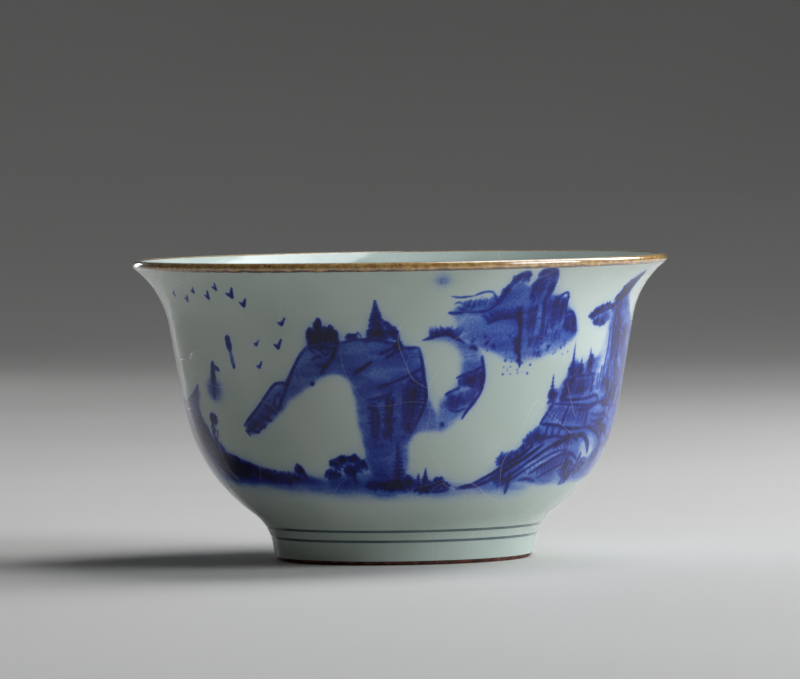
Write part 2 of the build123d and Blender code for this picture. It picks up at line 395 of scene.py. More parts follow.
def paint_middle_hill(art):
    """The hill in front: a long ridge on the left, a misty hollow, and a cliff under a flat top."""
    art.lay_wash([
        (-46, 23.6), (-40, 26.8), (-35, 29.8), (-31.5, 31), (-29, 32.6), (-25.6, 35.8), (-22.5, 37.8),
        (-15, 37.9), (-5, 38), (0, 36.8), (4.4, 36.5), (5.6, 34), (6.3, 29), (9, 25.6), (9.4, 23),
        (4, 22.6), (1.5, 20.5), (1.8, 17), (-1, 14.4), (-8, 14.6), (-10, 17), (-10.4, 20), (-11.6, 24),
        (-12, 28), (-13.6, 31.4), (-16.6, 32.5), (-20, 31.9), (-24.5, 30), (-29.5, 28), (-34, 25.4),
        (-39, 23.6), (-44, 22.2)
    ], 0.46, soft=0.5)
    art.lay_wash([
        (-10.6, 28), (-8, 29.4), (4.6, 30), (4.4, 25), (0, 20), (-8, 19.6), (-10.8, 24)
    ], 0.46, soft=0.8)
    # The long ridge and its crumbled end.
    strokes(
        art,
        (0.5, 0.9, (-46.6, 23.6), (-43, 25.3), (-39.5, 27.2), (-36.4, 29.2), (-34, 30.6), (-31.6, 30.9),
         (-29.8, 30.5)),
        (0.45, 0.9, (-35, 25.6), (-32.6, 27.6), (-31, 29.6), (-29, 32), (-26.6, 34.6), (-24.6, 36.2),
         (-23, 37)),
        (0.36, 0.8, (-32.2, 29.6), (-34, 28.6), (-34.8, 27.2), (-33.8, 26.6), (-32.6, 27.8), (-32.8, 29.2)),
        (0.4, 0.85, (-46.2, 23), (-45, 22.3), (-44.6, 22)),
        (0.4, 0.85, (-45, 24), (-43, 22.9), (-41, 22.6)),
        (0.4, 0.85, (-43, 24.6), (-41, 23.8), (-38.6, 23.4)),
        (0.4, 0.85, (-40.6, 25.8), (-38.4, 25), (-36, 24.6)),
        (0.36, 0.8, (-38, 27.4), (-36.6, 26.6), (-34.8, 25.9)),
        (0.36, 0.8, (-41.6, 22.6), (-40, 23.4), (-38, 24)),
    )
    for angle, height in ((-44.6, 23), (-42.4, 23.6), (-40, 24.3), (-37.6, 25.2), (-36, 26.2)):
        leaves(art, angle, height, 1.2, 0.5, 9, 0.3, 0.85)
    # The broad tree where the ridge meets the crest.
    for angle, low, high, width in (
        (-22.5, 37.2, 40, 0.9), (-21.2, 37.4, 39.4, 0.8), (-20.1, 37.6, 41.5, 1.1),
        (-18.6, 37.6, 40.1, 0.9), (-17.2, 37.4, 40.5, 0.8), (-15.9, 37, 39.6, 0.8)
    ):
        strokes(art, (width, 1.0, (angle, low), (angle - 0.1, (low + high) / 2), (angle, high)))
    for angle, height, spread, rise in (
        (-19.4, 38.3, 3.4, 1.2), (-20.4, 39.8, 1.1, 1.2), (-17.4, 39.2, 1.4, 0.9), (-22.4, 38.8, 0.9, 1.0)
    ):
        leaves(art, angle, height, spread, rise, 40, 0.38, 1.0)
    strokes(
        art,
        (0.3, 0.85, (-22.9, 37.6), (-22.6, 36.4), (-21.6, 35.8)),
        (0.3, 0.85, (-20.4, 37.6), (-20.6, 36.6), (-19.6, 36.2)),
        (0.3, 0.85, (-18.4, 37.8), (-18.2, 36.8), (-17.2, 36.6)),
        (0.4, 0.85, (-23.3, 36.5), (-20.6, 36.9), (-17, 36.6), (-15.6, 37.2)),
        (0.5, 0.95, (-15.8, 37.4), (-16.8, 35.6), (-18.2, 34.2), (-19.6, 33.2), (-20.6, 32.4)),
        (0.4, 0.85, (-22.6, 34.7), (-21.4, 35.2), (-20, 35.2)),
        (0.42, 0.9, (-21.4, 34.1), (-20, 33.7), (-18.6, 34.2)),
        (0.34, 0.75, (-17.6, 36.2), (-18.8, 35.6), (-20, 36.2)),
    )
    art.dab(-23 * DEGREE, 30.8, 0.36, 0.85)
    # The crest, its spruce and the flat top.
    strokes(
        art,
        (0.34, 0.9, (-15.6, 37.3), (-12, 37.9), (-8, 38), (-4, 37.7), (-0.6, 37.2)),
        (0.3, 0.8, (-13, 38), (-12.4, 38.8), (-11.6, 38.2)),
        (0.3, 0.8, (-11.2, 38.2), (-10.4, 39.2), (-9.6, 38.4)),
        (0.9, 0.75, (-4.2, 41), (-2.2, 39.6), (-0.4, 37.6)),
        (0.34, 0.9, (-5.4, 35.5), (-3.4, 36.2), (-0.8, 36.8)),
        (0.34, 0.9, (-4, 34.9), (-2.4, 35.5), (-1, 36.2)),
        (0.5, 0.95, (-12.2, 32.1), (-10, 33.2), (-7.2, 34.4)),
        (0.34, 0.9, (-0.4, 36.6), (2, 36.5), (4.3, 36.6)),
        (0.42, 0.95, (4.3, 36.7), (5, 34.4), (5.5, 31.8), (6.1, 28.8), (5.4, 26.6), (3.8, 24.4),
         (2.2, 22.4)),
        (0.38, 0.9, (-6.4, 30), (-2, 31), (2, 32.1), (5.3, 33.2)),
        (0.34, 0.85, (-9, 28), (-6, 28.4), (-3.2, 29)),
        (0.3, 0.8, (-9, 24.2), (-7.4, 24.4), (-5.6, 24.2)),
    )
    leaves(art, -12, 38.5, 1.5, 0.6, 24, 0.32, 0.85)
    spruce(art, -5.9, 38, 44.3, 3.3, 1.0, 0.36)
    leaves(art, -5.6, 39, 2.4, 0.8, 60, 0.4, 1.0)
    leaves(art, -2.2, 39, 1.7, 1.0, 44, 0.36, 0.85)
    leaves(art, -0.7, 36.9, 0.9, 0.9, 26, 0.4, 1.0)
    # The cliff under the flat top.
    rocks(art, [(-8.4, 21), (-6.6, 20.6)], [(-8, 28), (-6.2, 28.2)], 5, 0.24, 0.85, 6)
    rocks(art, [(-4.6, 20.6), (-3.2, 20.4)], [(-3.6, 29.6), (-1.8, 30.4)], 5, 0.3, 1.0, 9)
    rocks(art, [(0.2, 22.4), (3, 23.4)], [(0.8, 31.2), (5, 32)], 8, 0.26, 0.85, 6)
    grass(art, [(2.4, 22.6), (4, 24.8), (5.4, 27), (5.8, 30)], 1.5, 12, 0.2, 0.8)
    leaves(art, 3.4, 30.8, 1.3, 0.8, 20, 0.34, 0.85)
    leaves(art, 1.6, 23.4, 1.1, 0.8, 18, 0.32, 0.9)


def paint_right_hill(art):
    """The rounded hill behind, with grass on its crown and dark rocks at its edge."""
    art.lay_wash([
        (4.6, 37.6), (8, 38.8), (12, 39), (15, 38.6), (19.8, 36.6), (21, 33), (20.8, 30), (18, 27),
        (14.6, 24.4), (9.6, 22.4), (7, 24), (8.6, 26), (10, 28), (12.5, 29.4), (14.4, 31.4), (14.8, 34),
        (13.2, 36.6), (9, 37.6)
    ], 0.34, soft=0.6)
    strokes(
        art,
        (0.42, 0.9, (5, 37.7), (7, 38.1), (9.2, 38.5), (11.4, 38.6), (13.4, 38), (15.6, 37.1)),
        (0.36, 0.8, (6.8, 38), (8, 38.8), (8.8, 38.6)),
        (0.5, 0.9, (17.2, 36.5), (18.8, 36.1)),
        (0.5, 0.9, (20.2, 35), (20.7, 33), (20.9, 31), (20.2, 29), (18.6, 27.5), (16.8, 26), (15.5, 24.6)),
        (0.36, 0.85, (13.6, 31.4), (16, 32), (18.6, 32.6), (20.6, 33.4)),
        (0.36, 0.8, (10.9, 28.7), (13, 29.4), (15, 29.9)),
        (0.3, 0.7, (12, 26.2), (14.6, 26), (16.6, 26.6)),
    )
    grass(art, [(7.4, 38.3), (8.6, 38.6), (9.8, 38.7)], 1.7, 8, 0.2)
    grass(art, [(10, 38.7), (11.6, 38.7), (13.8, 38.1)], 1.6, 11, 0.5)
    leaves(art, 11.2, 39, 1.6, 0.5, 20, 0.28, 0.85)
    leaves(art, 8.6, 38.8, 0.9, 0.4, 10, 0.26, 0.85)
    art.pool(17.6, 31, 2.6, 1.6, 0.6)
    art.pool(15.6, 27.6, 3.2, 1.6, 0.45)
    rocks(art, [(14.8, 30), (20, 28.8)], [(14.6, 31.4), (20.6, 33)], 15, 0.3, 0.8, 1.2)
    rocks(art, [(12, 26), (18, 27)], [(12.4, 28.8), (19.6, 30)], 15, 0.26, 0.65, 1.2)
    leaves(art, 12.4, 27.2, 1.2, 0.8, 16, 0.26, 0.6)
    art.dab(10.3 * DEGREE, 23.9, 0.3, 0.8)


def paint_far_mountain(art):
    """The tall mountain at the upper right: crests, a fan of grass, rock columns and moss dots."""
    art.lay_wash([
        (12, 42.4), (14.5, 43.6), (20, 44), (22.6, 44), (25.4, 46), (28.4, 47.4), (30.6, 46), (33, 48.6),
        (36, 48), (37.6, 45), (41, 44.8), (44, 43), (47.6, 40.6), (48.4, 38), (43, 35.6), (38, 34.6),
        (32, 33.6), (28, 34), (23, 35.4), (18, 36.4), (14.5, 37.6), (13, 40)
    ], 0.37, soft=0.55)
    strokes(
        art,
        (0.3, 0.8, (11.6, 44.9), (14, 44.7), (17.4, 44.9)),
        (0.34, 0.7, (17, 44.9), (19.6, 45.5), (21.6, 45.4), (22.6, 44.4), (23.4, 43.8)),
        (0.34, 0.75, (13.4, 43), (15.6, 42.4), (18.6, 42.2), (21.4, 42.6), (24.6, 44)),
        (0.34, 0.8, (11.2, 42.2), (13, 42.1), (15, 42.2)),
        (0.26, 0.6, (12.6, 43.6), (13.8, 43.9), (15.2, 43.5)),
        (0.95, 0.55, (23, 43.4), (24.4, 45), (25.8, 46.8), (27.2, 48.2), (28.6, 48.4), (29.8, 47)),
        (0.5, 0.65, (23.4, 43.8), (25, 45.8), (26.8, 47.8), (28.6, 48.6)),
        (1.0, 0.55, (31.8, 47.8), (33.6, 48.8), (35.6, 48.2), (36.8, 46.6), (36.6, 44.8), (35.8, 43.4)),
        (0.5, 0.65, (33, 49), (35, 49), (36.8, 47.8), (37.4, 46)),
        (0.34, 0.9, (21.2, 40.2), (23.4, 40.8), (26.4, 41.1), (29, 41)),
    )
    rocks(art, [(14.6, 42.5), (22.4, 42.8)], [(15.4, 44.4), (22.8, 45)], 16, 0.22, 0.6, 0.4)
    for angle, height, spread, rise in (
        (25, 45.6, 1.0, 0.8), (26.8, 47.6, 1.6, 0.9), (28.8, 48, 1.1, 0.8), (32.8, 48.4, 1.4, 0.8),
        (35, 48, 1.6, 0.9), (36.8, 45.8, 0.8, 1.4), (32.4, 45.8, 1.0, 1.6)
    ):
        leaves(art, angle, height, spread, rise, 14, 0.36, 0.68)
    rocks(art, [(31.4, 43.4), (34, 43)], [(31.6, 48), (35, 47.8)], 7, 0.34, 0.6, 1)
    # The fan of grass and the dark cleft under it.
    fan = [(21.8, 40.4), (23.6, 40.9), (25.4, 41.1), (27.2, 41.2), (29.4, 41)]
    grass(art, fan, 1.9, 20, 0.8, 0.85, 0.22)
    leaves(art, 29.4, 41.6, 1.0, 1.2, 26, 0.36, 0.9)
    strokes(
        art,
        (0.6, 0.95, (29.4, 42.6), (30, 40.4), (30.2, 38)),
        (0.5, 0.9, (30.3, 39.4), (30.1, 37), (30.4, 34.6), (30.8, 32.8)),
        (0.5, 0.8, (29.6, 37), (29.2, 35.8), (30.4, 35)),
    )
    leaves(art, 29.6, 37, 1.0, 1.6, 26, 0.36, 0.85)
    # The rock columns.
    rocks(art, [(32, 38), (34, 37.4)], [(32, 43.4), (34.4, 43.6)], 7, 0.26, 0.65, 2)
    rocks(art, [(32.4, 35.6), (35, 35.8)], [(33, 38), (36, 38.6)], 5, 0.3, 0.6, 1)
    rocks(art, [(36.2, 37), (37.6, 36.6)], [(36, 44.6), (37.6, 45)], 5, 0.3, 0.8, 3)
    rocks(art, [(38.8, 38.6), (42.4, 39.6)], [(38.6, 44.4), (42.8, 44.6)], 11, 0.3, 0.85, 1.5)
    rocks(art, [(43.8, 38.2), (46.8, 37.8)], [(43.8, 41.4), (46.8, 41.4)], 9, 0.28, 0.8, 1.2)
    rocks(art, [(38.6, 36.2), (42, 36.8)], [(39, 38.6), (42.6, 39.4)], 6, 0.24, 0.55, 0.6)
    strokes(
        art,
        (0.36, 0.85, (38.4, 44.4), (40, 44.2), (41.6, 45), (42.8, 44.6), (43.2, 42.6), (43.6, 41)),
        (0.34, 0.8, (43.6, 41.2), (44.8, 41.8), (46.2, 41.4), (47.4, 40), (47.8, 38)),
    )
    dots(art, (17, 35.4), (29, 38.2), 18)
    dots(art, (26, 31.8), (34, 34.2), 16)
    dots(art, (34, 34.6), (46, 37), 22)


def paint_right_bank(art):
    """The near bank at the right: a leaning pine, huts under it, small firs, and slopes to the water."""
    art.lay_wash([
        (40.6, 26.6), (43, 29), (46, 30.6), (47.4, 33.4), (50, 34), (52, 32.6), (55, 34), (58, 34),
        (61, 36), (64, 43), (68, 45), (73, 43), (78, 41), (86, 38), (98, 30), (100, 16), (86, 13.4),
        (62, 12.8), (46, 12.9), (33, 13.2), (26, 14), (29, 17), (33, 19.4), (37, 21.4), (39, 23.6)
    ], 0.36, soft=0.5)
    art.lift([(60.4, 36), (64, 39), (64.4, 33), (62, 28.6), (60, 29.4)], 0.7, 0.6)
    art.lift([(58, 20), (62, 21.4), (67, 19.6), (67, 17), (61, 16.6)], 0.5, 0.5)
    art.lift([(38, 16.4), (44, 18.4), (50, 19.4), (50, 18), (43, 16.2), (38, 15)], 0.4, 0.45)
    # The leaning pine and the rocks it stands on.
    strokes(
        art,
        (2.0, 0.85, (71.6, 47.6), (69.4, 46.2), (66.6, 44.4), (64.2, 43.2)),
        (1.7, 0.8, (68.6, 46.4), (66.2, 45.2), (64.6, 43.6)),
        (0.8, 0.75, (66, 44.4), (65.8, 41.6), (65.6, 38.4), (66.2, 34.6)),
        (0.55, 0.85, (67.4, 43), (67.6, 39), (67.2, 35), (68.4, 31)),
        (0.6, 0.75, (66.4, 35), (66.2, 31), (67.2, 27), (68.4, 23)),
        (0.45, 0.8, (52.4, 40.7), (56, 41.2), (60.4, 41.9), (64.6, 42.4)),
        (0.36, 0.6, (63.6, 39), (63.8, 35), (63, 31.4), (64, 28)),
    )
    art.pool(60, 40.6, 3.4, 1.0, 0.5)
    for angle, height in (
        (53.8, 40.9), (55.6, 41.6), (57.6, 42), (60, 42.4), (62.4, 42.3), (56, 39.9), (58.6, 39.7)
    ):
        leaves(art, angle, height, 1.6, 0.6, 20, 0.36, 0.85)
    leaves(art, 67.4, 45.2, 2.6, 1.0, 40, 0.6, 0.85)
    leaves(art, 64.6, 43.6, 2.2, 0.8, 30, 0.5, 0.85)
    for angle, height, spread, rise in (
        (68.6, 38, 1.5, 3.2), (71, 33, 2.0, 3.0), (67.6, 29, 1.6, 2.0), (75, 37, 2.4, 3.0),
        (74, 28, 2.6, 2.4), (80, 32, 3.0, 4.0), (84, 26, 4.0, 3.4)
    ):
        art.pool(angle, height, spread, rise, 0.72, 1.5)
    rocks(art, [(67, 33), (71, 31)], [(66.6, 40), (71, 42)], 6, 0.5, 0.7, 1)
    rocks(art, [(72, 34), (80, 30)], [(70, 40), (78, 38)], 6, 0.6, 0.65, 1)
    rocks(art, [(66, 25), (72, 24)], [(70, 31), (77, 31)], 6, 0.5, 0.75, 1)
    rocks(art, [(76, 22), (86, 20)], [(78, 30), (88, 30)], 7, 0.6, 0.7, 1)
    rocks(art, [(60.4, 28), (65, 27)], [(61, 32), (66, 35)], 7, 0.34, 0.5, 0.5)
    for angle, height in ((64.6, 29.6), (66.4, 26.6), (70, 35.6), (73, 31), (71.6, 27.4)):
        leaves(art, angle, height, 1.8, 0.8, 20, 0.42, 0.75)
    # Small firs behind the huts.
    spruce(art, 48.4, 32, 36.6, 0.9, 0.8, 0.6)
    spruce(art, 55.2, 31.6, 35.4, 1.2, 0.85, 0.6)
    spruce(art, 51.8, 31, 34, 1.1, 0.75, 0.6)
    spruce(art, 41.8, 27, 31.4, 1.5, 0.85, 0.6)
    for angle, height, spread, rise in (
        (42.2, 28, 1.5, 1.0), (47, 29.4, 1.4, 1.6), (48.6, 31.6, 1.6, 1.4), (51.4, 32, 1.4, 0.9),
        (56, 33, 1.2, 1.6), (46.2, 27.8, 1.2, 0.8)
    ):
        leaves(art, angle, height, spread, rise, 34, 0.38, 0.85)
    # The huts: the upper roof, the lower roof, and the posts.
    art.pool(52.6, 29, 5.6, 2.2, 0.6)
    rocks(art, [(47.6, 27.5), (58.8, 27.6)], [(49.6, 30.8), (58.6, 31.2)], 20, 0.28, 0.8, 0.8)
    rocks(art, [(39.8, 23.6), (57, 22.7)], [(43.2, 26.4), (58, 26.2)], 24, 0.24, 0.7, 0.3)
    strokes(
        art,
        (0.34, 0.85, (49.6, 30.9), (54, 31), (58.8, 31.2)),
        (0.45, 0.9, (46.4, 27.3), (48, 29.2), (49.6, 31)),
        (0.42, 0.9, (45, 27.1), (50, 27.1), (56, 27.2), (60.6, 27.6), (62.6, 26.6)),
        (0.4, 0.9, (42.4, 26.6), (50, 26.3), (57, 26), (63, 26.4), (69, 25.8), (76, 25.4)),
        (0.45, 0.95, (42.7, 26.6), (40.6, 24.8), (39, 23.4)),
        (0.42, 0.95, (38.8, 23.4), (43.4, 23.1), (47.4, 22.7)),
        (0.42, 0.9, (46.4, 22.6), (51, 22.3), (57, 22.2)),
        (0.4, 0.85, (52, 25.3), (57, 25.4), (61.6, 26)),
        (0.38, 0.85, (48.8, 26.3), (48, 24.8), (47, 23)),
        (0.38, 0.85, (57.8, 26), (57.6, 24), (57.2, 22.2)),
        (0.3, 0.8, (42, 23), (41.6, 21.8), (41.8, 20.6)),
        (0.3, 0.8, (44.2, 23), (44, 21.8), (44.4, 20.8)),
        (0.3, 0.8, (46.8, 22.6), (46.6, 21.6), (47, 20.8)),
        (0.3, 0.8, (50.2, 22.2), (50, 21.2), (50.4, 20.6)),
        (0.36, 0.8, (41.4, 20.8), (45, 21.2), (49, 20.9), (53, 21.4)),
        (0.36, 0.75, (59, 24.6), (63, 24.2), (68, 24.2), (74, 23)),
    )
    # The tufts and bushes along the top of the slope.
    tuft(art, 38, 21, 2.0, 17, 0.1, 3.0)
    tuft(art, 36, 20.4, 1.6, 11, 0.7, 3.1)
    tuft(art, 29, 17.6, 1.7, 15, 0.4, 3.5)
    tuft(art, 31, 18, 1.4, 9, 0.5, 2.6)
    for angle, height in ((29, 17.2), (31, 17.6), (33, 18.4), (35, 19.4), (37, 20.2), (39, 20.8), (41, 21)):
        leaves(art, angle, height, 1.5, 0.7, 20, 0.34, 0.85)
    # The slopes.
    strokes(
        art,
        (0.55, 0.85, (17, 13.1), (21, 13.6), (25, 14.8), (29, 16.2)),
        (0.8, 0.85, (26, 15), (30, 16.6), (34, 18), (38, 19.6)),
        (0.7, 0.9, (22, 13.2), (27, 14.4), (32, 16.2), (37, 18), (42, 20)),
        (0.5, 0.85, (31, 14), (35, 15.8), (40, 17.8), (46, 19.8), (52, 21.2)),
        (0.9, 0.9, (46, 19.2), (50, 20.6), (53, 21), (56, 20.2)),
        (0.42, 0.8, (30, 13), (35, 14.6), (41, 16.8), (47, 18.4), (53, 18.8)),
        (0.5, 0.85, (40, 15), (45, 16.6), (50, 17.9), (55, 18), (60, 16.8)),
        (0.4, 0.75, (44, 14.2), (50, 15.8), (56, 16.6), (61, 15.4)),
        (0.7, 0.85, (54, 21), (58, 21), (62, 19.6), (65, 17.8)),
        (0.5, 0.8, (57, 22.4), (62, 22), (68, 20.6), (74, 18.4)),
        (0.45, 0.75, (60, 23.4), (66, 22.8), (72, 21.4), (78, 19.6)),
        (0.4, 0.7, (37, 14), (40, 14.2), (44, 13.6)),
        (0.7, 0.9, (32.6, 15.4), (33.4, 14), (33.8, 12.6), (34.4, 11.8)),
        (0.7, 0.85, (52.6, 18), (55, 16.4), (56.4, 14)),
        (0.8, 0.85, (60.6, 18), (61, 15.8), (60.2, 13)),
    )
    grass(art, [(58, 16.8), (54, 17.6), (49, 17.3), (43, 15.6)], 1.5, 15, 0.3, 0.7, 0.24)
    grass(art, [(53, 20.2), (48, 19.2), (43, 17.8), (38, 15.8)], 1.0, 13, 0.3, 0.65, 0.2)
    for angle, height, spread, rise in (
        (30.6, 14.2, 2.2, 0.7), (55.4, 15.6, 2.8, 1.3), (58.6, 14.2, 2.2, 1.4), (51, 20.6, 1.8, 0.6),
        (66, 22.8, 3.0, 1.0), (64, 15.6, 3.0, 1.6), (72, 17.4, 4.0, 1.8), (80, 20, 4.0, 2.4),
        (70, 21.4, 3.0, 1.0)
    ):
        leaves(art, angle, height, spread, rise, 34, 0.42, 0.85)


def paint_back(art):
    """The side away from the viewer: far hills over open water, with boats, reeds and birds."""
    art.lay_wash([
        (84, 14), (92, 18), (102, 20), (114, 18.4), (128, 17), (142, 16.4), (156, 15.6), (170, 16.4),
        (184, 17.4), (198, 16.6), (212, 16.8), (226, 18.4), (238, 20.8), (262, 21), (280, 20), (282, 13.2),
        (262, 13), (240, 12.6), (214, 12), (186, 11.7), (156, 11.9), (126, 12), (100, 12.4)
    ], 0.42, soft=1.0)
    art.lay_wash([
        (84, 36), (92, 37), (98, 33), (105, 29.6), (110, 25), (114, 21), (108, 18), (84, 18)
    ], 0.45, soft=0.6)
    art.lay_wash([
        (134, 25), (142, 28.6), (149, 33.2), (154, 36), (160, 38.2), (166, 36.4), (172, 33.2), (178, 31.4),
        (184, 33.6), (190, 35), (196, 31.6), (203, 27.8), (211, 25), (200, 24), (180, 25.4), (160, 24.4)
    ], 0.4, soft=0.6)
    art.lift([(150, 27), (164, 29.4), (180, 27.6), (196, 28), (200, 25), (172, 24), (152, 24.4)], 0.9, 0.8)
    art.lay_wash([
        (236, 21), (246, 24), (256, 26), (268, 27.4), (284, 26), (284, 18), (240, 18)
    ], 0.5, soft=0.6)
    strokes(
        art,
        (0.45, 0.85, (134, 25), (142, 28.8), (149, 33.3), (154, 36.1), (160, 38.3), (165, 36.8)),
        (0.45, 0.85, (160, 38.2), (166, 36), (171, 33), (176, 31.4)),
        (0.45, 0.85, (176, 31.2), (183, 33.4), (190, 35.1), (195, 32.4), (202, 28.2), (210, 25.2)),
        (0.5, 0.85, (84, 36.4), (92, 37.2), (98, 33.2), (105, 29.8), (110.4, 25)),
        (0.6, 0.8, (86, 31), (93, 30.6), (100, 27.4), (107, 23)),
        (0.6, 0.8, (84, 26), (92, 25.2), (101, 22), (109, 19)),
        (0.8, 0.8, (236, 21.4), (246, 24.2), (256, 26.2), (268, 27.6), (280, 26.4)),
    )
    rocks(art, [(156, 31), (160, 30.6)], [(156, 35.6), (160.4, 37)], 7, 0.26, 0.7, 2)
    rocks(art, [(162, 31), (166, 30.4)], [(162, 36.6), (166, 35.4)], 7, 0.26, 0.7, 2)
    rocks(art, [(184, 29.4), (194, 28.6)], [(184, 32.8), (193, 33.6)], 12, 0.26, 0.7, 2)
    rocks(art, [(84, 18), (106, 19)], [(84, 34), (98, 32)], 18, 0.5, 0.7, 3)
    rocks(art, [(244, 19), (280, 19)], [(246, 23), (280, 25)], 24, 0.4, 0.7, 2)
    for angle, height in (
        (149, 33.6), (152, 35.2), (170, 34), (183.6, 33.8), (197, 31.6), (99, 33), (92, 36.6)
    ):
        leaves(art, angle, height, 2.0, 0.7, 24, 0.34, 0.85)
    for angle, foot, top, spread in (
        (160, 38, 42.4, 2.0), (163.4, 37.2, 40.4, 1.5), (188.6, 34.8, 38.2, 1.6), (173, 15, 22.6, 2.2),
        (177, 15, 20.4, 1.8), (243, 19.5, 26.5, 2.4), (248, 19.8, 24.4, 1.8), (104, 19, 25, 2.0)
    ):
        spruce(art, angle, foot, top, spread, 0.95)
    for angle, height, tall in ((124, 22.4, 5.0), (128.6, 23, 3.8), (219, 28, 5.2), (225, 30.4, 4.0)):
        sail(art, angle, height, tall, 0.6)
        hull = [(angle - 1.6, height), (angle + 0.4, height - 0.35), (angle + 2.4, height)]
        strokes(art, (0.4, 0.85, *hull))
    for angle, height, size in (
        (136, 40.5, 1.1), (140, 42, 0.9), (131, 42.6, 1.0), (144, 39.4, 0.8), (206, 40, 1.1),
        (211, 41.6, 0.9), (202, 42.2, 0.8)
    ):
        bird(art, angle, height, size)
    for angle in (118, 121, 147, 152, 181, 186, 207, 232, 236, 241, 246):
        grass(art, [(angle - 2, 15.4), (angle, 15.8), (angle + 2, 15.4)], 3.0, 8, -0.7, 0.85, 0.26)
        leaves(art, angle, 15.4, 2.6, 0.7, 24, 0.36, 0.85)
    leaves(art, 175, 16, 3.0, 1.0, 40, 0.4, 0.9)
    leaves(art, 254, 21.4, 5, 1.2, 60, 0.45, 0.85)


def landscape():
    """The whole painting, far things first."""
    art = Painting()
    for part in (
        paint_far_mountain, paint_right_hill, paint_middle_hill, paint_right_bank, paint_left_hills,
        paint_shore, paint_sky, paint_back
    ):
        part(art)
    density = art.density()
    return np.maximum(density, BLEED * blurred(density, BLEED_REACH))


# ---------------------------------------------------------------- the painted glaze


def skin_points(node, keep):
    """(radius, height) in millimetres of the corners of a CAD node's faces that pass a test of how far they
    face outward and upward, each from -1 to 1, and of their middle height."""
    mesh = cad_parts[node].data
    corners = np.array([v.co for v in mesh.vertices]) / MM
    radius = np.hypot(corners[:, 0], corners[:, 1])
    found = set()
    for face in mesh.polygons:
        across = face.center.xy.normalized().dot(face.normal.xy)
        if keep(across, face.normal.z, face.center.z / MM):
            found.update(face.vertices)
    picks = sorted(found)
    return np.stack([radius[picks], corners[picks, 2]], axis=1)


class Section:
    """The outer face as a smooth radius against height, through the CAD's own points."""

    def __init__(self, points):
        heights = np.unique(points[:, 1].round(2))
        self.z = heights
        self.r = np.array([points[np.abs(points[:, 1] - h) < 0.006, 0].max() for h in heights])
        steps = np.diff(self.z)
        rise = np.diff(self.r) / steps
        near, far = 2 * steps[1:] + steps[:-1], steps[1:] + 2 * steps[:-1]
        inner = 3 * (steps[1:] + steps[:-1]) / (near / rise[:-1] + far / rise[1:])
        self.m = np.concatenate([[rise[0]], inner, [rise[-1]]])

    def radius(self, height):
        """Radius at a height."""
        k = np.clip(np.searchsorted(self.z, height) - 1, 0, len(self.z) - 2)
        h = self.z[k + 1] - self.z[k]
        t = (height - self.z[k]) / h
        return (
            (2 * t**3 - 3 * t**2 + 1) * self.r[k]
            + (t**3 - 2 * t**2 + t) * h * self.m[k]
            + (3 * t**2 - 2 * t**3) * self.r[k + 1]
            + (t**3 - t**2) * h * self.m[k + 1]
        )

    def normal(self, height):
        """Outward normal, as its radial and upward parts."""
        step = 0.02
        low = np.clip(height - step, self.z[0], self.z[-1])
        high = np.clip(height + step, self.z[0], self.z[-1])
        rise = (self.radius(high) - self.radius(low)) / (high - low)
        length = np.hypot(1, rise)
        return 1 / length, -rise / length

    def spaced(self, low, high, count):
        """Heights evenly spaced along the face from one height to another."""
        z = np.linspace(low, high, 2000)
        run = np.concatenate([[0], np.cumsum(np.hypot(np.diff(z), np.diff(self.radius(z))))])
        return np.interp(np.linspace(0, run[-1], count + 1), run, z)


def heights_of(node):
    """Lowest and highest height of a CAD node, in millimetres."""
    low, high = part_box(node)
    return low.z / MM, high.z / MM


LINE_NODES = ("lower_foot_line", "upper_foot_line")
LINES = [heights_of(node) for node in LINE_NODES]
COAT = (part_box("lip_dressing")[1].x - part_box("clay_body")[1].x) / MM


def on_outer_face(across, up, height):
    """True for the outer glaze's own outer face, without its end under the lip and its lines' grooves."""
    return across > 0.3 and up < 0.5 and not any(low < height < high for low, high in LINES)


def on_line_face(across, up, height):
    """True for a painted line's outer face."""
    return across > 0.3


section = Section(
    np.vstack(
        [skin_points("outer_glaze", on_outer_face)]
        + [skin_points(node, on_line_face) for node in LINE_NODES]
    )
)


def groove_depth(node):
    """How deep a painted line is set in the glaze."""
    radii = skin_points(node, lambda across, up, height: abs(across) > 0.3)
    low = radii[:, 1].min()
    level = radii[np.abs(radii[:, 1] - low) < 0.01, 0]
    return level.max() - level.min()


def mesh_rows():
    """Coarse rows up the outer face, as heights and depths: it steps round each painted line's groove."""
    rows = [(section.z[0], 0.0)]
    for (low, high), node in zip(LINES, LINE_NODES):
        depth = groove_depth(node)
        rows += [(low, 0.0), (low, depth), (high, depth), (high, 0.0)]
    rows += [(z, 0.0) for z in section.spaced(LINES[-1][1], section.z[-1], COARSE_ROWS)[1:]]
    return rows


def detail(density, size):
    """How far each block of the fine grid is from a flat blend of its corners."""
    corners = density[::size, ::size]
    t = np.arange(size + 1) / size
    near, far = corners[:-1, :-1, None, None], corners[1:, :-1, None, None]
    near_right, far_right = corners[:-1, 1:, None, None], corners[1:, 1:, None, None]
    v, u = t[:, None], t[None, :]
    flat = near * (1 - v) * (1 - u) + far * v * (1 - u) + near_right * (1 - v) * u + far_right * v * u
    rows = np.arange(corners.shape[0] - 1)[:, None, None, None] * size + np.arange(size + 1)[:, None]
    columns = np.arange(corners.shape[1] - 1)[None, :, None, None] * size + np.arange(size + 1)[None, :]
    return np.abs(density[rows, columns] - flat).max(axis=(2, 3))


def grow(flags):
    """Each flag spread to the whole of its four children."""
    return flags.repeat(2, axis=0).repeat(2, axis=1)


